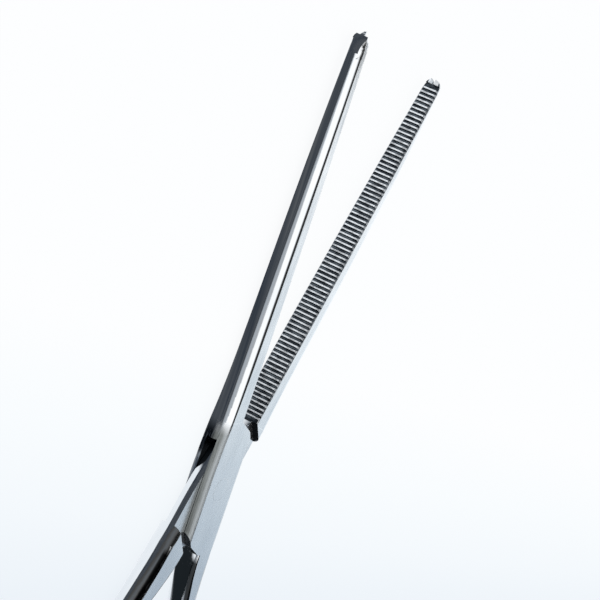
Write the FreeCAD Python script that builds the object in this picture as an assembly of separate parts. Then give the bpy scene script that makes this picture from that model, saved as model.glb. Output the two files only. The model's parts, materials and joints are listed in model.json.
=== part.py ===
"""Straight haemostatic forceps with a box lock, long serrated jaws and toothed tips.

Three pieces: the box half, whose lock is a slotted box, the tongue half, whose tongue passes
through that slot, and the rivet that they turn on.

Each half is drawn shut, with the rivet on the Z axis at mid thickness, its jaw along +X and the
plane where the jaws meet at Y = 0. The box half's jaw is on the +Y side and its handle on the
-Y side, and the tongue half's the other way round. Both are then turned apart by half of the
opening, and raised until the underside of the lock lies at Z = 0. All sizes are millimetres.
"""
import FreeCAD
import Part
import math
import os
from FreeCAD import Vector

# Whole instrument
tip_reach = 74.0            # rivet to the end of the single tooth, at the tips
pair_reach = 73.3           # rivet to the ends of the pair of points that it enters
ring_reach = 114.5          # rivet to the centres of the finger rings, along the handles
opening_angle = 22.6        # between the jaws, as the instrument lies
lock_thickness = 4.04       # over the lock's two flat faces

# Jaws, from the lock to their tip
tip_height = 2.82           # across the serrated face, along Z
root_flat = 3.00            # depth of the flat sides beside the lock, from the meeting plane
box_slim_flat = 1.85        # the same for the box half's jaw, where the flare has run out
tongue_slim_flat = 2.45     # and for the tongue half's jaw
tip_flat = 0.60             # and at the tips
slim_back = 1.62            # bulge of the half-round back beyond the flats, past the flare
tip_back = 0.95             # the same at the tips
height_hold = 2.5           # how long the jaws keep their height towards the tip, as a power
back_hold = 2.0             # the same for the bulge of the back
box_flat_hold = 2.0         # the same for the flat sides of the box half's jaw
tongue_flat_hold = 3.0      # and of the tongue half's jaw
flare_run = 8               # how fast the flare runs out, as a power
jaw_spans = 24              # straight spans that make up the jaws' curves, closest at their ends
side_draft = 0.24           # how far the flats fall away towards the back
face_bevel = 0.36           # bevel between the serrated face and the flats

# Serrations: the ridges of one jaw stand in the grooves of the other
tooth_pitch = 0.75
tooth_depth = 0.34
ridge_width = 0.23          # flat on top of each ridge, and at the bottom of each groove
ridge_rise = 0.08           # ridge tops, past the meeting plane when shut
bare_gap = 0.12             # plain strip of each face, short of the meeting plane
bare_root = 0.80            # plain strip between the lock and the first ridge

# One-into-two teeth at the tips
point_length = 0.75         # of the pair, along X
point_height = 0.60         # of the two points above the meeting plane
point_spread = 0.38         # from the middle to each point
point_foot = 0.95           # from the middle to the outer foot of each point
seat_depth = 0.50           # of the V between the two points, below the meeting plane
point_clearance = 0.06
relief_length = 0.35        # shortest plain groove behind the points
pair_nose_side = 0.80       # rounding of the tip across Z, seen from the serrated side
pair_nose_length = 1.7      # the same along X
single_nose_side = 1.10     # both sizes at the tip with the single tooth
single_nose_length = 2.8
nose_back_length = 3.4      # along X, over which the back comes down to the points

# Lock
lock_flat = 3.65            # half width of the lock's flat faces
lock_waist = 0.05           # how much narrower they are ahead of the rivet
lock_back = 1.25            # bulge of the lock's rounded sides beyond the flats
plate_reach = 11.35         # rivet to the plates' slanted ends, measured on the meeting plane
end_slant = 31.0            # of the plates' ends and the shoulders, degrees from the Y axis
corner_start = 3.10         # from the meeting plane to where each plate's corner is cut
corner_length = 3.0         # of that cut
corner_slant = 35.0         # of that cut, degrees from the X axis
shoulder_clearance = 0.34   # from the plates' ends to the shoulders when shut
slot_height = 1.84
tongue_clearance = 0.05     # above and below the tongue
slot_mouth = 8.2            # rivet to the slot's end walls, at the lock's sides
slot_throat = 10.9          # rivet to the slot's end walls, on the meeting plane
wall_clearance = 0.20       # from the slot's end walls to the tongue when shut
tongue_flat_rear = 4.70     # half width of the flats on the tongue half's handle side
tongue_flat_middle = 4.40
tongue_flat_front = 3.10

# Rivet
rivet_radius = 1.50
rivet_clearance = 0.05      # running fit in the tongue
rivet_head_radius = 1.95
rivet_head_depth = 0.55     # countersunk into each plate

# Handles: sides measured outwards from the meeting plane
handle_inner_root = 0.30    # inner sides beside the lock
handle_corner_root = 0.45   # rounding of their inner edges
handle_corner = 1.40        # the same, half way along
handle_height = 3.70        # half way along, along Z
handle_width = 4.30         # half way along
handle_back = 1.70          # bulge of the outer sides, half way along
neck_height = 3.10          # where a handle runs into its ring
neck_width = 4.10
bow_start = 20.0            # rivet to where the handles start to bow
bow_middle = 58.0
bow_end = 88.0
bow_start_inner = 1.50      # inner sides at those three places
bow_middle_inner = 4.60
bow_end_inner = 5.30
neck_inner = 4.85
box_handle_extra = 0.0      # outer side at the start of the bow, beyond the plain width
tongue_handle_extra = 0.90

# Finger rings
ring_length = 21.2          # finger hole, along X
ring_width = 18.2           # finger hole, across
ring_end = 7.7              # radius of the finger hole at its two ends
ring_wire = 4.20            # thickness of the ring in its own plane
ring_height = 3.60
ring_offset = 15.5          # ring's centre from the meeting plane
neck_reach = 8.0            # from the ring's centre to the end of the handle inside it

# Ratchet
ratchet_reach = 91.0        # rivet to the near side of the ratchet bars
ratchet_width = 4.6
ratchet_past = 4.4          # how far each bar reaches past the meeting plane
ratchet_root = 2.0          # how far it reaches back into its handle
ratchet_outside = 1.75      # outer face of each bar, from mid thickness
ratchet_inside = 0.36       # face that carries the teeth, from mid thickness
ratchet_gap = 0.03          # tooth tips, from mid thickness
ratchet_pitch = 1.50
ratchet_teeth = 4

# Worked out from the sizes above
half_thick = lock_thickness / 2
slant = math.tan(math.radians(end_slant))
shoulder_reach = plate_reach + shoulder_clearance / math.cos(math.radians(end_slant))
tongue_top = slot_height / 2 - tongue_clearance
wall_run = slot_throat - slot_mouth
wall_rise = lock_flat + lock_back
wall_shift = wall_clearance * math.hypot(wall_run, wall_rise) / wall_rise
clear_of_all = 2 * (ring_reach + ring_length)
points_start = pair_reach - point_length
quarter_pole = 0.5523       # pole length that turns a cubic curve into a quarter circle
axis_z = Vector(0, 0, 1)
rivet_centre = Vector(0, 0, 0)


def corner_curve(start, corner, end, is_round=True):
    """Edge from start to end around a corner: a quarter ellipse, or a straight bevel."""
    if not is_round:
        return Part.makeLine(start, end)
    curve = Part.BezierCurve()
    first = start + (corner - start) * quarter_pole
    second = end + (corner - end) * quarter_pole
    curve.setPoles([start, first, second, end])
    return curve.toShape()


def section(x, inner, flat, back, half_height, corner, draft=0.0, is_round=True):
    """Closed cross-section at x with a half-round back, drawn with its outer side towards +Y."""
    def at(y, z):
        return Vector(x, y, z)

    edge = half_height - draft
    side = half_height - corner
    outer = flat + back
    return Part.Wire([
        Part.makeLine(at(inner + corner, half_height), at(flat, edge)),
        corner_curve(at(flat, edge), at(outer, edge), at(outer, 0)),
        corner_curve(at(outer, 0), at(outer, -edge), at(flat, -edge)),
        Part.makeLine(at(flat, -edge), at(inner + corner, -half_height)),
        corner_curve(at(inner + corner, -half_height), at(inner, -half_height), at(inner, -side), is_round),
        Part.makeLine(at(inner, -side), at(inner, side)),
        corner_curve(at(inner, side), at(inner, half_height), at(inner + corner, half_height), is_round),
    ])


def lock_section(x, plus_flat, minus_flat):
    """Closed cross-section of a whole lock at x, flat above and below and rounded at both sides."""
    def at(y, z):
        return Vector(x, y, z)

    top = half_thick
    plus = plus_flat + lock_back
    minus = minus_flat + lock_back
    return Part.Wire([
        Part.makeLine(at(-minus_flat, top), at(plus_flat, top)),
        corner_curve(at(plus_flat, top), at(plus, top), at(plus, 0)),
        corner_curve(at(plus, 0), at(plus, -top), at(plus_flat, -top)),
        Part.makeLine(at(plus_flat, -top), at(-minus_flat, -top)),
        corner_curve(at(-minus_flat, -top), at(-minus, -top), at(-minus, 0)),
        corner_curve(at(-minus, 0), at(-minus, top), at(-minus_flat, top)),
    ])


def through(sections, is_ruled=False):
    """Solid through a row of cross-sections: smooth, or straight from each one to the next."""
    return Part.makeLoft(sections, True, is_ruled)


def plan_prism(points, half_height):
    """Upright prism over a plan outline, as far above mid thickness as below."""
    corners = [Vector(x, y, -half_height) for x, y in points]
    face = Part.Face(Part.makePolygon(corners + corners[:1]))
    return face.extrude(Vector(0, 0, 2 * half_height))


def mirrored(shape):
    """Mirror image across the meeting plane."""
    return shape.mirror(rivet_centre, Vector(0, 1, 0))


def turned(points):
    """Plan points turned half a turn about the rivet."""
    return [(-x, -y) for x, y in points]


def jaw_section(x, slim_flat, flat_hold):
    """Cross-section of a jaw at x, between the lock and the tip."""
    share = (x - plate_reach) / (tip_reach - plate_reach)
    rest = 1 - share
    flare = rest ** flare_run
    half_height = half_thick + (tip_height / 2 - half_thick) * share ** height_hold
    flat = slim_flat + (tip_flat - slim_flat) * share ** flat_hold + (root_flat - slim_flat) * flare
    back = slim_back + (tip_back - slim_back) * share ** back_hold + (lock_back - slim_back) * flare
    draft = side_draft * (1 - flare)
    return section(x, -ridge_rise, flat, back, half_height, face_bevel, draft, False)


def face_comb(first_groove):
    """What is cut away in front of a jaw's face: plain root, grooves and the relief by the tip."""
    bottom = tooth_depth - ridge_rise
    outside = -2 * (point_height + ridge_rise)
    flank = tooth_pitch / 2 - ridge_width
    count = int((points_start - relief_length - first_groove) / tooth_pitch)
    profile = [(0, outside), (0, bare_gap), (first_groove - ridge_width, bare_gap)]
    profile.append((first_groove - ridge_width, -ridge_rise))
    for number in range(count):
        start = first_groove + tooth_pitch * number
        profile.append((start, -ridge_rise))
        profile.append((start + flank, bottom))
        profile.append((start + flank + ridge_width, bottom))
        profile.append((start + 2 * flank + ridge_width, -ridge_rise))
    last = first_groove + tooth_pitch * count
    profile += [(last, -ridge_rise), (last, bottom), (points_start, bottom), (points_start, outside)]
    return plan_prism(profile, lock_thickness)


def tip_points(is_pair):
    """Teeth at the tip, on a base inside the jaw: a single one, or the pair that it enters."""
    half = tip_height / 2
    base = tip_back
    seat = point_height + point_clearance
    if is_pair:
        reach = pair_reach
        outline = [
            (-half, 0), (-point_foot, 0), (-point_spread, -point_height), (0, seat_depth),
            (point_spread, -point_height), (point_foot, 0), (half, 0), (half, base), (-half, base),
        ]
    else:
        reach = tip_reach
        outline = [
            (-half, seat), (-point_spread, seat), (0, point_clearance - seat_depth),
            (point_spread, seat), (half, seat), (half, base), (-half, base),
        ]
    corners = [Vector(points_start, y, z) for z, y in outline]
    face = Part.Face(Part.makePolygon(corners + corners[:1]))
    return face.extrude(Vector(reach - points_start, 0, 0))


def tip_room():
    """Block in which the teeth at the tip replace the plain end of the jaw."""
    block = Part.makeBox(2 * (tip_reach - points_start), tip_back + point_height, 2 * tip_height)
    block.translate(Vector(points_start, -point_height, -tip_height))
    return block


def nose(reach, side, side_length):
    """Everything inside the rounded outline of the tip, seen from the face and from above."""
    wide = clear_of_all
    half = tip_height / 2
    depth = tip_flat + tip_back
    edge_x = reach - side_length
    edge_z = half - side
    from_face = Part.Face(Part.Wire([
        Part.makeLine(Vector(0, 0, -wide), Vector(0, 0, wide)),
        Part.makeLine(Vector(0, 0, wide), Vector(edge_x, 0, wide)),
        Part.makeLine(Vector(edge_x, 0, wide), Vector(edge_x, 0, half)),
        corner_curve(Vector(edge_x, 0, half), Vector(reach, 0, half), Vector(reach, 0, edge_z)),
        Part.makeLine(Vector(reach, 0, edge_z), Vector(reach, 0, -edge_z)),
        corner_curve(Vector(reach, 0, -edge_z), Vector(reach, 0, -half), Vector(edge_x, 0, -half)),
        Part.makeLine(Vector(edge_x, 0, -half), Vector(edge_x, 0, -wide)),
        Part.makeLine(Vector(edge_x, 0, -wide), Vector(0, 0, -wide)),
    ])).extrude(Vector(0, 2 * wide, 0))
    from_face.translate(Vector(0, -wide, 0))
    back_x = reach - nose_back_length
    from_above = Part.Face(Part.Wire([
        Part.makeLine(Vector(0, -wide, 0), Vector(reach, -wide, 0)),
        Part.makeLine(Vector(reach, -wide, 0), Vector(reach, -point_height, 0)),
        corner_curve(Vector(reach, -point_height, 0), Vector(reach, depth, 0), Vector(back_x, depth, 0)),
        Part.makeLine(Vector(back_x, depth, 0), Vector(back_x, wide, 0)),
        Part.makeLine(Vector(back_x, wide, 0), Vector(0, wide, 0)),
        Part.makeLine(Vector(0, wide, 0), Vector(0, -wide, 0)),
    ])).extrude(Vector(0, 0, 2 * wide))
    from_above.translate(Vector(0, 0, -wide))
    return from_face.common(from_above)


def jaw(first_groove, is_pair):
    """Whole jaw ahead of the lock, with its back towards +Y."""
    length = tip_reach - plate_reach
    shares = [(1 - math.cos(math.pi * number / jaw_spans)) / 2 for number in range(jaw_spans + 1)]
    slim_flat = tongue_slim_flat if is_pair else box_slim_flat
    flat_hold = tongue_flat_hold if is_pair else box_flat_hold
    sections = [jaw_section(plate_reach + length * share, slim_flat, flat_hold) for share in shares]
    blank = through(sections, True)
    blank = blank.cut(face_comb(first_groove)).cut(tip_room())
    if is_pair:
        outline = nose(pair_reach, pair_nose_side, pair_nose_length)
    else:
        outline = nose(tip_reach, single_nose_side, single_nose_length)
    return blank.fuse(tip_points(is_pair)).common(outline)


def handle_sections(flat_root, extra):
    """Cross-sections of a handle from the lock to inside its ring, drawn towards +Y."""
    def one(x, inner, width, back, height, corner):
        return section(-x, inner, inner + width - back, back, height / 2, corner)

    root_width = flat_root + lock_back - handle_inner_root
    thinning = (lock_thickness + handle_height) / 2
    neck_start = (bow_end + ring_reach - neck_reach) / 2
    return [
        one(plate_reach, handle_inner_root, root_width, lock_back, lock_thickness, handle_corner_root),
        one(plate_reach + 1, handle_inner_root, root_width, lock_back, lock_thickness, handle_corner_root),
        one(bow_start, bow_start_inner, handle_width + extra, handle_back, thinning, handle_corner_root * 2),
        one((bow_start + bow_middle) / 2, (bow_start_inner + 2 * bow_middle_inner) / 3,
            handle_width + extra / 2, handle_back, handle_height, handle_corner),
        one(bow_middle, bow_middle_inner, handle_width, handle_back, handle_height, handle_corner),
        one(bow_end, bow_end_inner, handle_width, handle_back, handle_height, handle_corner),
        one(neck_start, (bow_end_inner + neck_inner) / 2, neck_width, handle_back, neck_height, handle_corner),
        one(ring_reach - neck_reach, neck_inner, neck_width, handle_back, neck_height, handle_corner),
    ]


def ring():
    """Oval finger ring of four tangent arcs, its centre on the +Y side."""
    along = (ring_length + ring_wire) / 2
    wide = (ring_width + ring_wire) / 2
    end_radius = ring_end + ring_wire / 2
    end_x = along - end_radius
    side_radius = (end_x ** 2 + wide ** 2 - end_radius ** 2) / (2 * (wide - end_radius))
    side_y = side_radius - wide
    end_angle = math.degrees(math.atan2(side_y, end_x))

    def arc(centre, radius, from_angle, angle):
        profile = Part.Ellipse(rivet_centre, ring_wire / 2, ring_height / 2).toShape()
        face = Part.Face(Part.Wire([profile]))
        face.rotate(rivet_centre, Vector(1, 0, 0), 90)
        face.translate(Vector(radius, 0, 0))
        face.rotate(rivet_centre, axis_z, from_angle)
        face.translate(centre)
        return face.revolve(centre, axis_z, angle)

    side_angle = 180 - 2 * end_angle
    band = arc(Vector(end_x, 0, 0), end_radius, -end_angle, 2 * end_angle)
    band = band.fuse(arc(Vector(0, -side_y, 0), side_radius, end_angle, side_angle))
    band = band.fuse(arc(Vector(-end_x, 0, 0), end_radius, 180 - end_angle, 2 * end_angle))
    band = band.fuse(arc(Vector(0, side_y, 0), side_radius, 180 + end_angle, side_angle))
    band.translate(Vector(-ring_reach, ring_offset, 0))
    return band


def ratchet():
    """Ratchet bar of the +Y handle, below mid thickness, curved about the rivet."""
    middle = ratchet_reach + ratchet_width / 2
    inner_side = bow_end_inner + ratchet_root
    start = math.degrees(math.asin(inner_side / middle))
    end = math.degrees(math.asin(ratchet_past / middle))
    step = math.degrees(ratchet_pitch / middle)
    bar_height = ratchet_outside - ratchet_inside
    far_x = ratchet_reach + ratchet_width

    def swept(low, high, from_angle, angle):
        corners = [Vector(-ratchet_reach, 0, low), Vector(-far_x, 0, low),
                   Vector(-far_x, 0, high), Vector(-ratchet_reach, 0, high)]
        face = Part.Face(Part.makePolygon(corners + corners[:1]))
        face.rotate(rivet_centre, axis_z, from_angle)
        return face.revolve(rivet_centre, axis_z, angle)

    bar = swept(-ratchet_outside, -ratchet_inside, -start, start + end)
    for number in range(ratchet_teeth):
        low = -ratchet_inside - bar_height / 4
        outline = [Vector(-ratchet_reach, 0, low), Vector(-ratchet_reach, 0, -ratchet_gap),
                   Vector(-ratchet_reach, ratchet_pitch, -ratchet_inside), Vector(-ratchet_reach, ratchet_pitch, low)]
        tooth = Part.Face(Part.makePolygon(outline + outline[:1])).extrude(Vector(-ratchet_width, 0, 0))
        tooth.rotate(rivet_centre, axis_z, end - step * (number + 1))
        bar = bar.fuse(tooth)
    return bar


def handle(flat_root, extra):
    """Handle with its ring and ratchet bar, drawn towards +Y."""
    shank = through(handle_sections(flat_root, extra))
    return shank.fuse(ring()).fuse(ratchet())


def end_wall(y, shift=0.0):
    """Point at height y of the slot's end wall on the jaw's side, moved in towards the rivet."""
    return (slot_throat - shift - wall_run * y / wall_rise, y)


def slanted(reach, y):
    """Point at y of a slanted end ahead of the lock, on the -Y side."""
    return (reach + slant * y, y)


def rivet():
    """Rivet with both heads closed flush into their countersinks."""
    shank_end = half_thick - rivet_head_depth
    half_outline = [
        (0, -half_thick), (rivet_head_radius, -half_thick), (rivet_radius, -shank_end),
        (rivet_radius, shank_end), (rivet_head_radius, half_thick), (0, half_thick),
    ]
    corners = [Vector(r, 0, z) for r, z in half_outline]
    face = Part.Face(Part.makePolygon(corners + corners[:1]))
    return face.revolve(rivet_centre, axis_z, 360)


def box_half():
    """Half with the slotted box: jaw on the +Y side, handle on the -Y side."""
    wide = 2 * (lock_flat + lock_back)
    beyond = plate_reach + wide
    lock = through([
        lock_section(-plate_reach, lock_flat, lock_flat),
        lock_section(-plate_reach / 3, lock_flat, lock_flat),
        lock_section(plate_reach / 3, lock_flat - lock_waist, lock_flat),
        lock_section(plate_reach, root_flat, lock_flat),
    ])
    front = [slanted(plate_reach, -wide), slanted(plate_reach, -bare_gap), (plate_reach, bare_gap),
             (beyond, bare_gap), (beyond, -wide)]
    rear = [slanted(plate_reach, -wide), slanted(plate_reach, handle_inner_root),
            (beyond, handle_inner_root), (beyond, -wide)]
    cut_angle = math.radians(corner_slant)
    corner_x, corner_y = slanted(plate_reach, -corner_start)
    reach_x = corner_x - corner_length * math.cos(cut_angle)
    reach_y = corner_y - corner_length * math.sin(cut_angle)
    corner = [(corner_x, corner_y), (reach_x, reach_y), (reach_x, -wide), (beyond, -wide), (beyond, corner_y)]
    lock = lock.cut(plan_prism(front, lock_thickness))
    lock = lock.cut(plan_prism(turned(rear), lock_thickness))
    lock = lock.cut(plan_prism(corner, lock_thickness))
    lock = lock.cut(plan_prism(turned(corner), lock_thickness))
    whole = lock.fuse(jaw(plate_reach + bare_root, False))
    grip = handle(lock_flat, box_handle_extra)
    grip.rotate(rivet_centre, Vector(1, 0, 0), 180)
    whole = whole.fuse(grip)
    slot = [end_wall(wide), end_wall(bare_gap), (beyond, bare_gap), (beyond, -wide)]
    slot += turned([end_wall(wide), end_wall(handle_inner_root)])
    slot += [(-beyond, -handle_inner_root), (-beyond, wide)]
    whole = whole.cut(plan_prism(slot, slot_height / 2))
    return whole.cut(rivet())


def tongue_half():
    """Half with the tongue: jaw on the -Y side, handle on the +Y side."""
    wide = 2 * (tongue_flat_rear + lock_back)
    beyond = plate_reach + wide
    lock = through([
        lock_section(-plate_reach, tongue_flat_rear, root_flat),
        lock_section(-plate_reach / 2, (tongue_flat_rear + tongue_flat_middle) / 2, root_flat),
        lock_section(0, tongue_flat_middle, root_flat),
        lock_section(slot_mouth, tongue_flat_front, root_flat),
        lock_section(plate_reach, tongue_flat_front, root_flat),
    ])
    front = [end_wall(wide, wall_shift), end_wall(-bare_gap, wall_shift), (beyond, -bare_gap), (beyond, wide)]
    rear = [end_wall(wide, wall_shift), end_wall(-handle_inner_root, wall_shift),
            (beyond, -handle_inner_root), (beyond, wide)]
    lock = lock.cut(plan_prism(front, lock_thickness))
    lock = lock.cut(plan_prism(turned(rear), lock_thickness))
    whole = lock.fuse(mirrored(jaw(plate_reach + bare_root + tooth_pitch / 2, True)))
    whole = whole.fuse(handle(tongue_flat_rear, tongue_handle_extra))
    between = [slanted(shoulder_reach, -wide), slanted(shoulder_reach, wide / 4)]
    between += turned(between)
    recess = plan_prism(between, lock_thickness)
    middle = plan_prism([(-beyond, -wide), (beyond, -wide), (beyond, wide), (-beyond, wide)], tongue_top)
    whole = whole.cut(recess.cut(middle))
    bore = Part.makeCylinder(rivet_radius + rivet_clearance, lock_thickness, Vector(0, 0, -half_thick))
    return whole.cut(bore)


def placed(shape, turn):
    """Shape turned open about the rivet and raised to lie on Z = 0."""
    result = shape.copy()
    result.rotate(rivet_centre, axis_z, turn)
    result.translate(Vector(0, 0, half_thick))
    return result


def main():
    os.makedirs("parts", exist_ok=True)
    pieces = {
        "box_half": placed(box_half(), opening_angle / 2),
        "tongue_half": placed(tongue_half(), -opening_angle / 2),
        "lock_rivet": placed(rivet(), 0),
    }
    for name, shape in pieces.items():
        print(name, "valid", shape.isValid(), "solids", len(shape.Solids), "volume", round(shape.Volume, 1))
        shape.exportStep("parts/" + name + ".step")


main()
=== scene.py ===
"""Looks of the box-lock forceps: polished and satin steel, a pale floor and soft studio light.

Laid out as an add-on, and run as a script. Lengths are metres and the frame is the CAD's: +X
runs between the jaws to their tips, +Y to the box half's jaw, +Z along the rivet.
"""

import json
import math
from types import SimpleNamespace

import bpy
from mathutils import Matrix, Vector

bl_info = {
    "name": "Box-lock forceps",
    "version": (1, 0, 0),
    "blender": (4, 5, 0),
    "location": "3D View > Sidebar > Forceps",
    "description": "Dresses the forceps in steel and sets up its studio",
    "category": "Object",
}

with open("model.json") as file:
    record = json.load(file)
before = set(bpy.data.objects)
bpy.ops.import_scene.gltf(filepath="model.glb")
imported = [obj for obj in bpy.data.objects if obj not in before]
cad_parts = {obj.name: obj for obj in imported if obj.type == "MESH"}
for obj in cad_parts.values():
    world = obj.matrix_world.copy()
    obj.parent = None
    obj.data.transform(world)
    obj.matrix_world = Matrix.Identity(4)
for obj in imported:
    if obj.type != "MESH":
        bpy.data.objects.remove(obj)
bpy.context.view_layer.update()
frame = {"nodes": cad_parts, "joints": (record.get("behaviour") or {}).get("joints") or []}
PIVOT = Vector(frame["joints"][0]["pos_m"])
HALF_OPENING = math.radians(frame["joints"][0]["range_deg"][1]) / 2

# Places on each half as it is drawn shut, where one finish meets another, and where painted shade,
# highlights and reflections start. They follow the CAD.
LOCK_END = 0.0114           # rivet to the plates' ends
SLOT_HALF = 0.00093         # mid thickness to the slot's walls
TIP_REACH = 0.0740          # rivet to the tips
NEAR_TIP = (TIP_REACH - 0.0042, TIP_REACH - 0.0030)     # where the tips turn from polished to satin
NEAR_TIP_SHARE = 0.6
TIP_FLAT = 0.00060          # depth of the jaws' flats at the tips
FLARE_RUN = 8               # how fast the jaws' flare runs out, as a power
BOX_FLATS = (0.00185, 0.0030, 2)        # depth past the flare, depth at the root, power of the taper
TONGUE_FLATS = (0.00245, 0.0030, 3)
NO_FLATS = (0, 0, 1)
FACE_DEPTH = 0.00027        # meeting plane to the far side of the bevels beside the serrations
RIDGE_DEPTH = -0.00001      # meeting plane to where the ridges' worn tops start
LOCK_SIDE = (LOCK_END + 0.0004, LOCK_END - 0.0024)      # where the lock's dull sides start and are full
LOCK_TOP_HIGHLIGHT = (0.0012, 0.0020)             # mid thickness to the painted highlight along the upper edge of the lock's sides
LOCK_TOP_HIGHLIGHT_SHARE = 0.7
MIDDLE_BLEND = 0.0003       # the sides change this far above and below mid thickness
# Where the painted shade at the plates' ends fades out
RECESS_END = (LOCK_END + 0.0016, LOCK_END + 0.0014)
RIM_START = (-LOCK_END - 0.0005, -LOCK_END - 0.0015)
RIM_FROM = (0.00125, 0.00145)           # mid thickness to the painted dark reflection beside the handles' flats
BLEND = 0.0001              # width over which most finishes meet
FINE_BLEND = 0.00001

# Upright share of a surface's normal: where each kind of surface starts, and is sure
FLAT_UPRIGHT = (0.962, 0.975)
JAW_FLAT_UPRIGHT = (0.65, 0.70)
BEVEL_UPRIGHT = (0.25, 0.35)
SLOT_UPRIGHT = (0.8, 0.9)
PLATE_END_TURN = (0.45, 0.55)           # the same share along X, for the plates' ends

# Noises: scales along the half, across it and through its thickness, and detail
STREAKS = ((260, 6500, 6500), 4)
SMUDGES = ((110, 300, 300), 3)
SCRATCHES = ((900, 9000, 2500), 2)
EACH_RIDGE = ((1500, 500, 700), 2)

# Shares by the noises: the noise where each one starts and where it is full, and the share at both
HAZY_SMUDGES = ((0.35, 0.65), 0, 1)
HAZY_STREAKS = ((0.45, 0.75), 0, 0.22)
SIDE_STREAKS = ((0.35, 0.65), 0, 1)
LOW_SIDE_GLINTS = ((0.50, 0.62), 0, 1)
GROOVE_SHADE_PATCHES = ((0.42, 0.62), 0, 1)
BEVEL_GLINTS = ((0.40, 0.55), 0.15, 1)
WORN_RIDGES = ((0.38, 0.52), 0.50, 1)
EDGE_WEAR = ((0.995, 0.93), 0, 0.7)     # by the cosine of how far its rounding turns the normal
EDGE_SAMPLES = 4

# What is added to the roughness, and what the streaks and scratches raise
SMUDGE_ROUGHNESS = ((0.3, 0.7), 0, 0.04)
STREAK_ROUGHNESS = ((0.3, 0.7), -0.05, 0.07)
WEAR_ROUGHNESS = 0.10
SERRATION_ROUGHNESS = 0.30
SCRATCH_HEIGHT = ((0.62, 0.66), 0, 0.12)
JAW_FLAT_STREAKS = 0.4

# Metallic share where the steel is dull enough to look brushed
RIDGE_METAL, UPPER_SIDE_METAL, BEVEL_METAL = 0.25, 0.35, 0.40

# Tent that the steel mirrors: degrees from straight up towards +Y, and the tone there
TENT_TOWARDS_RINGS = (                  # mirrored most by the box half
    (-58, 0.0), (-40, 0.020), (-20, 0.022), (-11, 0.16), (0, 0.46),
    (40, 0.46), (82, (0.45, 0.49, 0.53)), (95, 0.22), (104, 0.10),
    (112, (0.050, 0.062, 0.078)), (125, (0.085, 0.098, 0.112)), (140, (0.050, 0.060, 0.072)),
    (155, (0.080, 0.088, 0.098)), (180, (0.035, 0.044, 0.058)),
)
TENT_TOWARDS_TIPS = (                   # mirrored most by the tongue half
    (-58, 0.0), (-40, 0.02), (-30, 0.04), (-17, 0.020), (0, 0.007),
    (12, 0.010), (24, 0.045), (40, 0.115), (58, (0.125, 0.135, 0.145)),
    (75, 0.085), (95, 0.055), (180, 0.05),
)
TENT_CHANGES = (-0.05, 0.02)            # X of the direction, from the one tent to the other
SOFTBOX_COLOUR = (1.28, 1.28, 1.28, 1)
SOFTBOX_LOW, SOFTBOX_LOW_BLUR = math.radians(-6), 0.16
SOFTBOX_HIGH, SOFTBOX_HIGH_BLUR = math.radians(126), 0.12
SOFTBOX_SLANT = 4.0                     # how far its upper edge turns with the direction's X
SOFTBOX_TIPS_END = (-0.03, -0.10)       # X of the direction, from none of it to all of it
SOFTBOX_RINGS_END = (-0.52, -0.40)

# Wall behind, which the flats mirror: its colours run over WALL_SPAN, an X of the direction
WALL_COLOURS = (
    (0.05, (0.46, 0.55, 0.65)), (0.30, (0.53, 0.63, 0.72)), (0.42, (0.70, 0.80, 0.88)),
    (0.60, (1.00, 1.08, 1.13)), (1.0, (1.15, 1.18, 1.20)),
)
WALL_SPAN = (-0.20, 0.0)
WALL_EDGE_SPAN = (-0.14, -0.09)
WALL_EDGES = (math.radians(-48), math.radians(-45))     # wall's edge at the two ends of that span
WALL_BLUR = math.radians(9)

# Colour of the paper along X, in metres from the rivet
PAPER = (
    (-0.024, (0.83, 0.885, 0.94)), (-0.008, (0.905, 0.945, 0.98)),
    (0.005, (0.945, 0.975, 0.997)), (0.020, (0.982, 0.991, 1.0)),
)

# Floor that the steel mirrors: pale beside the lock and handles, dark past that, and darkest between
# handles, a painted shade where the handles shade each other
PALE_FLOOR = (1.02, 1.05, 1.08, 1)
DARK_FLOOR = ((0.030, 0.040, 0.056, 1), (0.100, 0.108, 0.118, 1))
SHADE_BETWEEN_HANDLES = (0.014, 0.018, 0.021, 1)
DARK_BY_HANDLES = (0.0085, 0.0130)      # in front of the outer line, where the dark starts and is full
DARK_BY_JAWS = (-0.0020, 0.0016)
JAWS_START = (0.001, 0.007)             # X where the one turns into the other
HANDLES_GAP_BLEND = 0.0005
FLOOR_STREAKS = ((14, 420, 1), 3)
DARK_STREAKS = (0.38, 0.62)             # noise from the first dark tone to the second

# Where the photograph puts the rivet, in its pixels, and its size in pixels
IMAGE_SIZE = 600
RIVET_IN_IMAGE = (210.2, 484.3)
SENSOR_WIDTH = 36
CLIP_START = 0.01


def steel_colour(name, description, *value):
    """Colour that a user can change."""
    return bpy.props.FloatVectorProperty(
        name=name, description=description, subtype="COLOR", size=4, min=0, max=1,
        default=(*value, 1))


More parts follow.
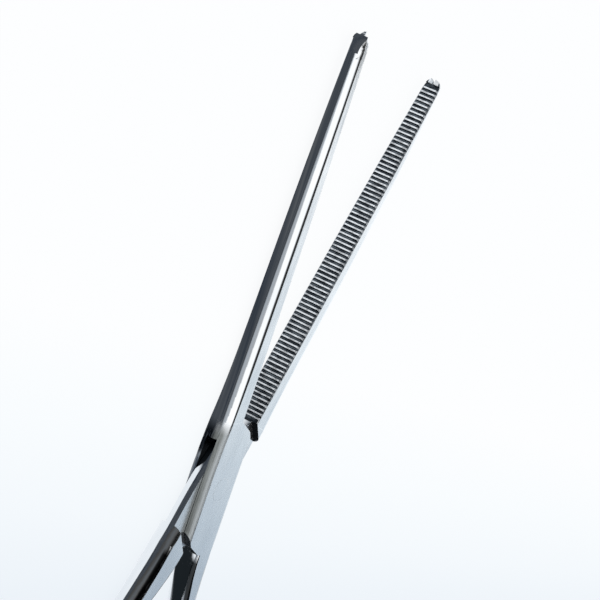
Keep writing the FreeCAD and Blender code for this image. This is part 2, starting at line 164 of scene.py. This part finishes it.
class ForcepsSteel(bpy.types.PropertyGroup):
    """Finish of the steel, and the painted shade, highlights and reflections in its colour."""

    steel: steel_colour("Steel", "Bare steel", 0.80, 0.82, 0.84)
    hazy: steel_colour("Hazy steel", "Steel where it is handled most", 0.74, 0.77, 0.80)
    worn: steel_colour("Worn edges", "Steel along the rubbed edges", 0.93, 0.94, 0.95)
    ridge: steel_colour("Ridges", "Worn tops of the serrations", 0.86, 0.90, 0.94)
    # Painted glints on the bevels beside the serrations
    bevel: steel_colour("Bevels", "Bright specks on the bevels beside the serrations", 0.62, 0.66, 0.70)
    # Painted shade: near black down between the serrations, on the bevels beside them, in the slot and at
    # the plates' ends
    groove_shade: steel_colour("Grooves", "Down between the serrations and in the lock", 0.030, 0.037, 0.046)
    # Paler patches, at random, in the grooves' painted shade
    groove_shade_patches: steel_colour("Grime", "Paler film in some of the grooves", 0.11, 0.13, 0.15)
    # Painted dark reflection along the rims beside the handles' flats
    rim_reflection: steel_colour("Rims", "Dull rims beside the handles' flats", 0.07, 0.075, 0.08)
    side: steel_colour("Lock's sides", "Brushed sides of the box", 0.14, 0.15, 0.145)
    side_streak: steel_colour("Side streaks", "Streaks on those sides", 0.26, 0.28, 0.275)
    # Painted highlight along the upper edge of the lock's sides
    side_top_highlight: steel_colour("Side tops", "Upper edge of those sides", 0.50, 0.54, 0.57)
    # Painted dark reflection on the lower plate's sides, with painted glints
    low_side_reflection: steel_colour("Lower sides", "Sides of the lower plate", 0.02, 0.03, 0.045)
    low_side_glint: steel_colour("Lower streaks", "Streaks on the lower plate", 0.30, 0.33, 0.36)
    polish: bpy.props.FloatProperty(
        name="Polish", description="Roughness of the rounded backs and sides",
        default=0.06, min=0, max=1)
    satin: bpy.props.FloatProperty(
        name="Satin", description="Roughness of the flat faces and the lock's sides",
        default=0.24, min=0, max=1)
    edge: bpy.props.FloatProperty(
        name="Edge", description="Rounding of the edges", default=0.00006, min=0, unit="LENGTH")
    streak: bpy.props.FloatProperty(
        name="Streaks", description="Depth of the brushed streaks",
        default=0.000004, min=0, unit="LENGTH")


class ForcepsStudio(bpy.types.PropertyGroup):
    """Camera, floor and light."""

    lean: bpy.props.FloatProperty(
        name="Lean", description="Camera's angle from straight above",
        default=math.radians(64), subtype="ANGLE")
    turn: bpy.props.FloatProperty(
        name="Turn", description="Camera's angle towards the rings",
        default=math.radians(-2.45), subtype="ANGLE")
    roll: bpy.props.FloatProperty(
        name="Roll", description="Camera's roll", default=math.radians(24.14), subtype="ANGLE")
    distance: bpy.props.FloatProperty(
        name="Distance", description="Camera to rivet, along its line of sight",
        default=0.3533, unit="LENGTH")
    focal: bpy.props.FloatProperty(
        name="Focal length", description="In pixels of the photograph", default=2283)
    floor: bpy.props.FloatProperty(
        name="Floor", description="Length of the floor's sides", default=3.0, unit="LENGTH")
    glow: bpy.props.FloatProperty(
        name="Glow", description="How much the paper is lit from behind, so that shadows stay faint",
        default=0.93, min=0, max=1)


class Nodes:
    """Node tree of a material or world, with a function for each kind of step in it."""

    def __init__(self, owner):
        owner.use_nodes = True
        self.tree = owner.node_tree
        self.tree.nodes.clear()
        self.link = self.tree.links.new

    def add(self, kind, **values):
        """Adds a node, and sets its inputs and settings by name."""
        node = self.tree.nodes.new("ShaderNode" + kind)
        for name, value in values.items():
            if name in node.inputs:
                node.inputs[name].default_value = value
            else:
                setattr(node, name, value)
        return node

    def put(self, value, socket):
        if isinstance(value, bpy.types.NodeSocket):
            self.link(value, socket)
        else:
            socket.default_value = value

    def maths(self, operation, first, second=None):
        node = self.add("Math", operation=operation)
        self.put(first, node.inputs[0])
        if second is not None:
            self.put(second, node.inputs[1])
        return node.outputs[0]

    def several(self, operation, first, *others):
        """Runs one operation over two values or more, as for the product of them all."""
        for other in others:
            first = self.maths(operation, first, other)
        return first

    def span(self, value, ends, low=0, high=1, smooth=False):
        """Turns a value between the two ends into one between low and high."""
        node = self.add("MapRange", interpolation_type="SMOOTHSTEP" if smooth else "LINEAR")
        self.put(value, node.inputs["Value"])
        for name, number in zip(("From Min", "From Max", "To Min", "To Max"), (*ends, low, high)):
            self.put(number, node.inputs[name])
        return node.outputs[0]

    def mask_to(self, mask, off, on):
        """The value off where the mask is 0, and on where it is 1."""
        return self.span(mask, (0, 1), off, on)

    def blend(self, share, first, second):
        """Mixes two colours, for which the node has its sockets 6 and 7."""
        node = self.add("Mix", data_type="RGBA")
        self.put(share, node.inputs["Factor"])
        self.put(first, node.inputs[6])
        self.put(second, node.inputs[7])
        return node.outputs[2]

    def turn(self, share, first, second):
        """Mixes two normals, for which the node has its sockets 4 and 5."""
        node = self.add("Mix", data_type="VECTOR")
        self.link(share, node.inputs["Factor"])
        self.link(first, node.inputs[4])
        self.link(second, node.inputs[5])
        return node.outputs[1]

    def split(self, vector):
        """X, Y and Z of a vector."""
        node = self.add("SeparateXYZ")
        self.link(vector, node.inputs[0])
        return [node.outputs[name] for name in "XYZ"]

    def ramp(self, value, stops):
        """Colour of a value between 0 and 1, from stops of place and grey or colour."""
        node = self.add("ValToRGB")
        self.link(value, node.inputs[0])
        elements = node.color_ramp.elements
        while len(elements) > 1:
            elements.remove(elements[-1])
        for number, (place, colour) in enumerate(stops):
            element = elements[0] if number == 0 else elements.new(place)
            element.position = place
            element.color = (*(colour if isinstance(colour, tuple) else [colour] * 3), 1)
        return node.outputs[0]

    def noise(self, vector, scale, detail):
        mapping = self.add("Mapping", Scale=scale)
        self.link(vector, mapping.inputs["Vector"])
        node = self.add("TexNoise", Scale=1.0, Detail=detail)
        self.link(mapping.outputs[0], node.inputs["Vector"])
        return node.outputs["Fac"]

    def choose(self, share, first, second):
        """Shader that is the first where the share is 0, and the second where it is 1."""
        node = self.add("MixShader")
        self.put(share, node.inputs["Fac"])
        self.link(first.outputs[0], node.inputs[1])
        self.link(second.outputs[0], node.inputs[2])
        return node

    def seen_directly(self, path):
        """1 for what the camera sees itself or through something clear."""
        return self.maths("MAXIMUM", path.outputs["Is Camera Ray"], path.outputs["Is Transmission Ray"])


def jaw_flat_depth(nodes, along, flat_sizes):
    """Depth of a jaw's flats from the meeting plane, as the CAD tapers and flares them."""
    slim, root, hold = flat_sizes
    share = nodes.span(along, (LOCK_END, TIP_REACH))
    taper = nodes.mask_to(nodes.maths("POWER", share, hold), slim, TIP_FLAT)
    flare = nodes.maths("POWER", nodes.mask_to(share, 1, 0), FLARE_RUN)
    return nodes.maths("ADD", taper, nodes.mask_to(flare, 0, root - slim))


def half_masks(nodes, shut, normal, own_normal, side, flat_sizes):
    """Shares, from 0 to 1, of the places on one half with a finish of their own, and of those with
    painted shade, highlights and reflections.
    """
    span, mask_to, maths, several = nodes.span, nodes.mask_to, nodes.maths, nodes.several
    is_half, has_box = abs(side), max(side, 0)
    along, across, up = nodes.split(shut)
    depth = maths("MULTIPLY", across, side)
    above_middle = maths("SUBTRACT", up, PIVOT[2])
    from_rivet = maths("ABSOLUTE", along)
    upright = maths("ABSOLUTE", normal[2])
    past_lock = span(along, (LOCK_END, LOCK_END + BLEND))

    face = maths("MULTIPLY", span(depth, (FACE_DEPTH, FACE_DEPTH - FINE_BLEND)), past_lock)
    ridge = maths("MULTIPLY", span(depth, (RIDGE_DEPTH, RIDGE_DEPTH - 3 * FINE_BLEND)), face)
    bevel = maths("MULTIPLY", face, span(upright, BEVEL_UPRIGHT))

    jaw_flat = several(
        "MULTIPLY", maths("LESS_THAN", depth, jaw_flat_depth(nodes, along, flat_sizes)),
        span(depth, (FACE_DEPTH, FACE_DEPTH + FINE_BLEND)), past_lock, span(upright, JAW_FLAT_UPRIGHT))
    flat = maths("MULTIPLY", span(upright, FLAT_UPRIGHT), mask_to(past_lock, 1, 0))
    flat = maths("MAXIMUM", flat, jaw_flat)
    rim_reflection = several("MULTIPLY", span(along, RIM_START), span(above_middle, RIM_FROM),
                  mask_to(flat, 1, 0), is_half)

    lock_side = maths("MULTIPLY", span(from_rivet, LOCK_SIDE, smooth=True), mask_to(flat, has_box, 0))
    below_middle = span(above_middle, (MIDDLE_BLEND, -MIDDLE_BLEND))
    plate_ends = maths("MULTIPLY", span(maths("ABSOLUTE", own_normal[0]), PLATE_END_TURN),
                       span(from_rivet, RECESS_END, 0, is_half))
    from_middle = maths("ABSOLUTE", above_middle)
    slot = several(
        "MULTIPLY", span(from_middle, (SLOT_HALF + 2 * FINE_BLEND, SLOT_HALF), 0, has_box),
        span(upright, SLOT_UPRIGHT), span(from_rivet, (LOCK_END, LOCK_END - BLEND)))

    return SimpleNamespace(
        face=face, ridge=ridge, bevel=bevel, jaw_flat=jaw_flat, rim_reflection=rim_reflection,
        lock_side=lock_side, below_middle=below_middle,
        lock_top_highlight=span(above_middle, LOCK_TOP_HIGHLIGHT, 0, LOCK_TOP_HIGHLIGHT_SHARE, smooth=True),
        upper_side=maths("MULTIPLY", lock_side, mask_to(below_middle, 1, 0)),
        recess_shade=maths("MAXIMUM", plate_ends, slot),
        brushed=several("MAXIMUM", flat, lock_side, span(along, NEAR_TIP, 0, NEAR_TIP_SHARE)))


def steel_tone(nodes, masks, noises, wear):
    """Colour of one half's steel, from the bare metal to the painted shade in its grooves, with its
    painted highlights and reflections.
    """
    look = bpy.context.scene.forceps_steel
    blend, span, maths = nodes.blend, nodes.span, nodes.maths
    streaks, smudges, scratches, each_ridge = noises
    hazy, groove_shade = tuple(look.hazy), tuple(look.groove_shade)

    tone = blend(span(smudges, *HAZY_SMUDGES), tuple(look.steel), hazy)
    tone = blend(span(maths("MULTIPLY", streaks, masks.brushed), *HAZY_STREAKS), tone, hazy)
    tone = blend(wear, tone, tuple(look.worn))

    upper = blend(span(streaks, *SIDE_STREAKS), tuple(look.side), tuple(look.side_streak))
    # Painted highlight along the upper edge of the lock's sides
    upper = blend(masks.lock_top_highlight, upper, tuple(look.side_top_highlight))
    # Lower plate's sides: a painted dark reflection with painted glints
    lower_side_reflection = blend(span(streaks, *LOW_SIDE_GLINTS), tuple(look.low_side_reflection), tuple(look.low_side_glint))
    tone = blend(masks.lock_side, tone, blend(masks.below_middle, upper, lower_side_reflection))
    # The slot and the plates' ends take the grooves' painted shade
    tone = blend(masks.recess_shade, tone, groove_shade)
    # Painted dark reflection beside the handles' flats
    tone = blend(masks.rim_reflection, tone, tuple(look.rim_reflection))

    # The serrated faces: painted shade in the grooves and on the bevels, paler in patches, and painted
    # glints on the bevels
    groove_shade_patches = blend(span(each_ridge, *GROOVE_SHADE_PATCHES), groove_shade, tuple(look.groove_shade_patches))
    # Painted glints on the bevels beside the serrations
    bevel_glints = maths("MULTIPLY", masks.bevel, span(scratches, *BEVEL_GLINTS))
    tone = blend(masks.face, tone, blend(bevel_glints, groove_shade_patches, tuple(look.bevel)))
    worn_ridge = maths("MULTIPLY", masks.ridge, span(each_ridge, *WORN_RIDGES))
    return blend(worn_ridge, tone, tuple(look.ridge))


def steel_roughness(nodes, masks, noises, wear):
    """Roughness: polished or satin, and more where it is smudged, streaked, worn or serrated."""
    look = bpy.context.scene.forceps_steel
    streaks, smudges = noises[:2]
    uneven_streaks = nodes.maths("MULTIPLY", nodes.span(streaks, *STREAK_ROUGHNESS), masks.brushed)
    return nodes.several(
        "ADD", nodes.mask_to(masks.brushed, look.polish, look.satin),
        nodes.span(smudges, *SMUDGE_ROUGHNESS), uneven_streaks,
        nodes.mask_to(wear, 0, WEAR_ROUGHNESS), nodes.mask_to(masks.face, 0, SERRATION_ROUGHNESS))


def steel_normal(nodes, masks, noises, geometry, normal, edge):
    """Normal: softened edges, jaws' flats held level, and the bump of streaks and scratches."""
    look = bpy.context.scene.forceps_steel
    streaks, _, scratches, _ = noises
    level = nodes.add("CombineXYZ")
    nodes.link(nodes.maths("SIGN", normal[2]), level.inputs["Z"])
    plain = nodes.turn(masks.face, edge.outputs[0], geometry.outputs["Normal"])
    plain = nodes.turn(masks.jaw_flat, plain, level.outputs[0])

    grain = nodes.maths("MULTIPLY", masks.brushed, nodes.mask_to(masks.jaw_flat, 1, JAW_FLAT_STREAKS))
    streaks_height = nodes.maths("MULTIPLY", streaks, grain)
    height = nodes.maths("ADD", streaks_height, nodes.span(scratches, *SCRATCH_HEIGHT))
    bump = nodes.add("Bump", Strength=1.0, Distance=look.streak)
    nodes.link(height, bump.inputs["Height"])
    nodes.link(plain, bump.inputs["Normal"])
    return bump.outputs[0]


def steel_material(name, turn, side, flat_sizes=NO_FLATS):
    """Steel of one half: polished rounds, satin flats, and grooves with painted shade between bright
    ridges.

    turn is the half's own turn about the rivet, and side is 1 where its jaw lies towards +Y,
    -1 where it lies towards -Y, and 0 for the rivet, which has no jaw. flat_sizes is BOX_FLATS,
    TONGUE_FLATS or NO_FLATS.
    """
    look = bpy.context.scene.forceps_steel
    material = bpy.data.materials.new(name)
    nodes = Nodes(material)
    coordinates = nodes.add("TexCoord")
    geometry = nodes.add("NewGeometry")
    shut = nodes.add("VectorRotate", rotation_type="Z_AXIS", Center=PIVOT, Angle=-turn)
    nodes.link(coordinates.outputs["Object"], shut.inputs["Vector"])
    normal = nodes.split(geometry.outputs["Normal"])
    own_normal = nodes.split(coordinates.outputs["Normal"])
    masks = half_masks(nodes, shut.outputs[0], normal, own_normal, side, flat_sizes)
    noises = [nodes.noise(shut.outputs[0], *sizes) for sizes in (STREAKS, SMUDGES, SCRATCHES, EACH_RIDGE)]

    edge = nodes.add("Bevel", samples=EDGE_SAMPLES, Radius=look.edge)
    turned_away = nodes.add("VectorMath", operation="DOT_PRODUCT")
    nodes.link(edge.outputs[0], turned_away.inputs[0])
    nodes.link(geometry.outputs["Normal"], turned_away.inputs[1])
    wear = nodes.span(turned_away.outputs["Value"], *EDGE_WEAR)

    shader = nodes.add("BsdfPrincipled", Metallic=1.0)
    nodes.link(steel_tone(nodes, masks, noises, wear), shader.inputs["Base Color"])
    nodes.link(steel_roughness(nodes, masks, noises, wear), shader.inputs["Roughness"])
    nodes.link(steel_normal(nodes, masks, noises, geometry, normal, edge), shader.inputs["Normal"])
    if side:
        bare = nodes.several(
            "MINIMUM", nodes.mask_to(masks.ridge, 1.0, RIDGE_METAL),
            nodes.mask_to(masks.upper_side, 1.0, UPPER_SIDE_METAL),
            nodes.mask_to(masks.bevel, 1.0, BEVEL_METAL))
        nodes.link(bare, shader.inputs["Metallic"])
    output = nodes.add("OutputMaterial")
    nodes.link(shader.outputs[0], output.inputs["Surface"])
    return material


class FORCEPS_OT_box_half(bpy.types.Operator):
    """Steel of the half with the box"""

    bl_idname = "forceps.box_half"
    bl_label = "Box half"

    def execute(self, context):
        node = frame["nodes"]["box_half"]
        steel = steel_material("box_half_steel", HALF_OPENING, 1, BOX_FLATS)
        node.material_slots[0].material = steel
        return {"FINISHED"}


class FORCEPS_OT_tongue_half(bpy.types.Operator):
    """Steel of the half with the tongue"""

    bl_idname = "forceps.tongue_half"
    bl_label = "Tongue half"

    def execute(self, context):
        node = frame["nodes"]["tongue_half"]
        steel = steel_material("tongue_half_steel", -HALF_OPENING, -1, TONGUE_FLATS)
        node.material_slots[0].material = steel
        return {"FINISHED"}


class FORCEPS_OT_rivet(bpy.types.Operator):
    """Steel of the rivet"""

    bl_idname = "forceps.rivet"
    bl_label = "Rivet"

    def execute(self, context):
        node = frame["nodes"]["lock_rivet"]
        node.material_slots[0].material = steel_material("rivet_steel", 0, 0)
        return {"FINISHED"}


def mirrored_tent(nodes):
    """Colour of the light tent in each direction: softbox above, darker sides, pale wall behind."""
    span, maths = nodes.span, nodes.maths
    coordinates = nodes.add("TexCoord")
    sideways, across, up = nodes.split(coordinates.outputs["Generated"])
    angle = maths("ARCTAN2", across, up)
    share = span(angle, (-math.pi, math.pi))

    towards_rings, towards_tips = (
        nodes.ramp(share, [((degrees + 180) / 360, colour) for degrees, colour in stops])
        for stops in (TENT_TOWARDS_RINGS, TENT_TOWARDS_TIPS))
    tent = nodes.blend(span(sideways, TENT_CHANGES, smooth=True), towards_rings, towards_tips)

    upper_edge = maths("SUBTRACT", angle, maths("MULTIPLY", sideways, SOFTBOX_SLANT))
    low_ends = (SOFTBOX_LOW - SOFTBOX_LOW_BLUR, SOFTBOX_LOW + SOFTBOX_LOW_BLUR)
    high_ends = (SOFTBOX_HIGH + SOFTBOX_HIGH_BLUR, SOFTBOX_HIGH - SOFTBOX_HIGH_BLUR)
    softbox = nodes.several(
        "MULTIPLY", span(angle, low_ends, smooth=True), span(upper_edge, high_ends, smooth=True),
        span(sideways, SOFTBOX_TIPS_END, smooth=True), span(sideways, SOFTBOX_RINGS_END, smooth=True))
    tent = nodes.blend(softbox, tent, SOFTBOX_COLOUR)

    wall = nodes.ramp(span(sideways, WALL_SPAN), WALL_COLOURS)
    wall_edge = span(sideways, WALL_EDGE_SPAN, *WALL_EDGES, smooth=True)
    wall_ends = (wall_edge, maths("SUBTRACT", wall_edge, WALL_BLUR))
    return nodes.blend(span(angle, wall_ends, smooth=True), tent, wall)


def studio_world():
    """White backdrop for the camera, plain white light, and the tent that the steel mirrors."""
    world = bpy.data.worlds.new("studio")
    bpy.context.scene.world = world
    nodes = Nodes(world)
    mirrored = nodes.add("Background", Strength=1.0)
    nodes.link(mirrored_tent(nodes), mirrored.inputs["Color"])
    soft_light = nodes.add("Background", Strength=1.0, Color=(1, 1, 1, 1))
    backdrop = nodes.add("Background", Strength=1.0, Color=(*PAPER[-1][1], 1))
    path = nodes.add("LightPath")
    lit = nodes.choose(path.outputs["Is Glossy Ray"], soft_light, mirrored)
    shown = nodes.choose(nodes.seen_directly(path), lit, backdrop)
    output = nodes.add("OutputWorld")
    nodes.link(shown.outputs[0], output.inputs["Surface"])


def studio_camera():
    """Camera at the photograph's viewing angle."""
    view = bpy.context.scene.forceps_studio
    lean, turn, roll = view.lean, view.turn, view.roll
    back = Vector((-math.sin(turn), math.cos(turn) * math.sin(lean), math.cos(turn) * math.cos(lean)))
    along = Vector((math.cos(turn), math.sin(turn) * math.sin(lean), math.sin(turn) * math.cos(lean)))
    across = Vector((0, -math.cos(lean), math.sin(lean)))
    right = across * math.cos(roll) + along * math.sin(roll)
    up = along * math.cos(roll) - across * math.sin(roll)
    offset_x = (RIVET_IN_IMAGE[0] - IMAGE_SIZE / 2) / view.focal
    offset_y = (IMAGE_SIZE / 2 - RIVET_IN_IMAGE[1]) / view.focal
    bpy.ops.object.camera_add()
    camera = bpy.context.object
    camera.name = "camera"
    camera.data.sensor_width = SENSOR_WIDTH
    camera.data.lens = view.focal / IMAGE_SIZE * SENSOR_WIDTH
    camera.data.clip_start = CLIP_START
    camera.matrix_world = Matrix((right, up, back)).transposed().to_4x4()
    camera.location = PIVOT - (right * offset_x + up * offset_y - back) * view.distance
    bpy.context.scene.camera = camera


def mirrored_floor(nodes, place):
    """Colour of the floor that the steel mirrors, dark in front of it, and darkest between the handles as
    painted shade.
    """
    span, mask_to, maths = nodes.span, nodes.mask_to, nodes.maths
    along, across, _ = nodes.split(place)
    slope = math.tan(HALF_OPENING)
    from_line = maths("SUBTRACT", across, maths("MULTIPLY", maths("ABSOLUTE", along), slope))
    by_jaws = span(along, JAWS_START, smooth=True)
    dark_ends = [mask_to(by_jaws, *ends) for ends in zip(DARK_BY_HANDLES, DARK_BY_JAWS)]
    in_front = span(from_line, dark_ends, smooth=True)
    from_handles = maths("SUBTRACT", maths("ABSOLUTE", across), maths("MULTIPLY", along, -slope))
    between_handles = span(from_handles, (HANDLES_GAP_BLEND, -HANDLES_GAP_BLEND))

    dark = nodes.blend(span(nodes.noise(place, *FLOOR_STREAKS), DARK_STREAKS), *DARK_FLOOR)
    dark = nodes.blend(between_handles, dark, SHADE_BETWEEN_HANDLES)
    return nodes.blend(maths("MAXIMUM", in_front, between_handles), PALE_FLOOR, dark)


def studio_floor():
    """Pale paper for the camera, which keeps a faint shadow, and the tones that the steel mirrors."""
    view = bpy.context.scene.forceps_studio
    bpy.ops.mesh.primitive_plane_add(size=view.floor)
    floor = bpy.context.object
    floor.name = "floor"
    material = bpy.data.materials.new("floor_paper")
    nodes = Nodes(material)
    coordinates = nodes.add("TexCoord")
    place = coordinates.outputs["Object"]
    first, last = PAPER[0][0], PAPER[-1][0]
    paper = nodes.ramp(nodes.span(nodes.split(place)[0], (first, last)),
                       [((x - first) / (last - first), colour) for x, colour in PAPER])

    shaded = nodes.add("BsdfDiffuse")
    nodes.link(paper, shaded.inputs["Color"])
    lit = nodes.add("Emission", Strength=1.0)
    nodes.link(paper, lit.inputs["Color"])
    mirrored = nodes.add("Emission", Strength=1.0)
    nodes.link(mirrored_floor(nodes, place), mirrored.inputs["Color"])
    path = nodes.add("LightPath")
    bounced = nodes.choose(path.outputs["Is Glossy Ray"], shaded, mirrored)
    shown = nodes.choose(nodes.seen_directly(path), bounced, nodes.choose(view.glow, shaded, lit))
    output = nodes.add("OutputMaterial")
    nodes.link(shown.outputs[0], output.inputs["Surface"])
    floor.data.materials.append(material)


class FORCEPS_OT_studio(bpy.types.Operator):
    """Camera, floor, backdrop and lights"""

    bl_idname = "forceps.studio"
    bl_label = "Studio"

    def execute(self, context):
        bpy.ops.object.select_all(action="DESELECT")
        context.scene.view_settings.view_transform = "Standard"
        studio_camera()
        studio_floor()
        studio_world()
        return {"FINISHED"}


class FORCEPS_PT_panel(bpy.types.Panel):
    """Sizes, finishes and steps"""

    bl_label = "Forceps"
    bl_space_type = "VIEW_3D"
    bl_region_type = "UI"
    bl_category = "Forceps"

    def draw(self, context):
        for group in (context.scene.forceps_steel, context.scene.forceps_studio):
            for name in group.bl_rna.properties.keys():
                if name not in ("rna_type", "name"):
                    self.layout.prop(group, name)
        for step in STEPS:
            self.layout.operator(step.bl_idname)


STEPS = (FORCEPS_OT_studio, FORCEPS_OT_box_half, FORCEPS_OT_tongue_half, FORCEPS_OT_rivet)
CLASSES = (ForcepsSteel, ForcepsStudio, *STEPS, FORCEPS_PT_panel)


def register():
    for cls in CLASSES:
        bpy.utils.register_class(cls)
    bpy.types.Scene.forceps_steel = bpy.props.PointerProperty(type=ForcepsSteel)
    bpy.types.Scene.forceps_studio = bpy.props.PointerProperty(type=ForcepsStudio)


def unregister():
    del bpy.types.Scene.forceps_studio
    del bpy.types.Scene.forceps_steel
    for cls in reversed(CLASSES):
        bpy.utils.unregister_class(cls)


def main():
    register()
    bpy.ops.forceps.studio()
    bpy.ops.forceps.box_half()
    bpy.ops.forceps.tongue_half()
    bpy.ops.forceps.rivet()


if __name__ == "__main__":
    main()
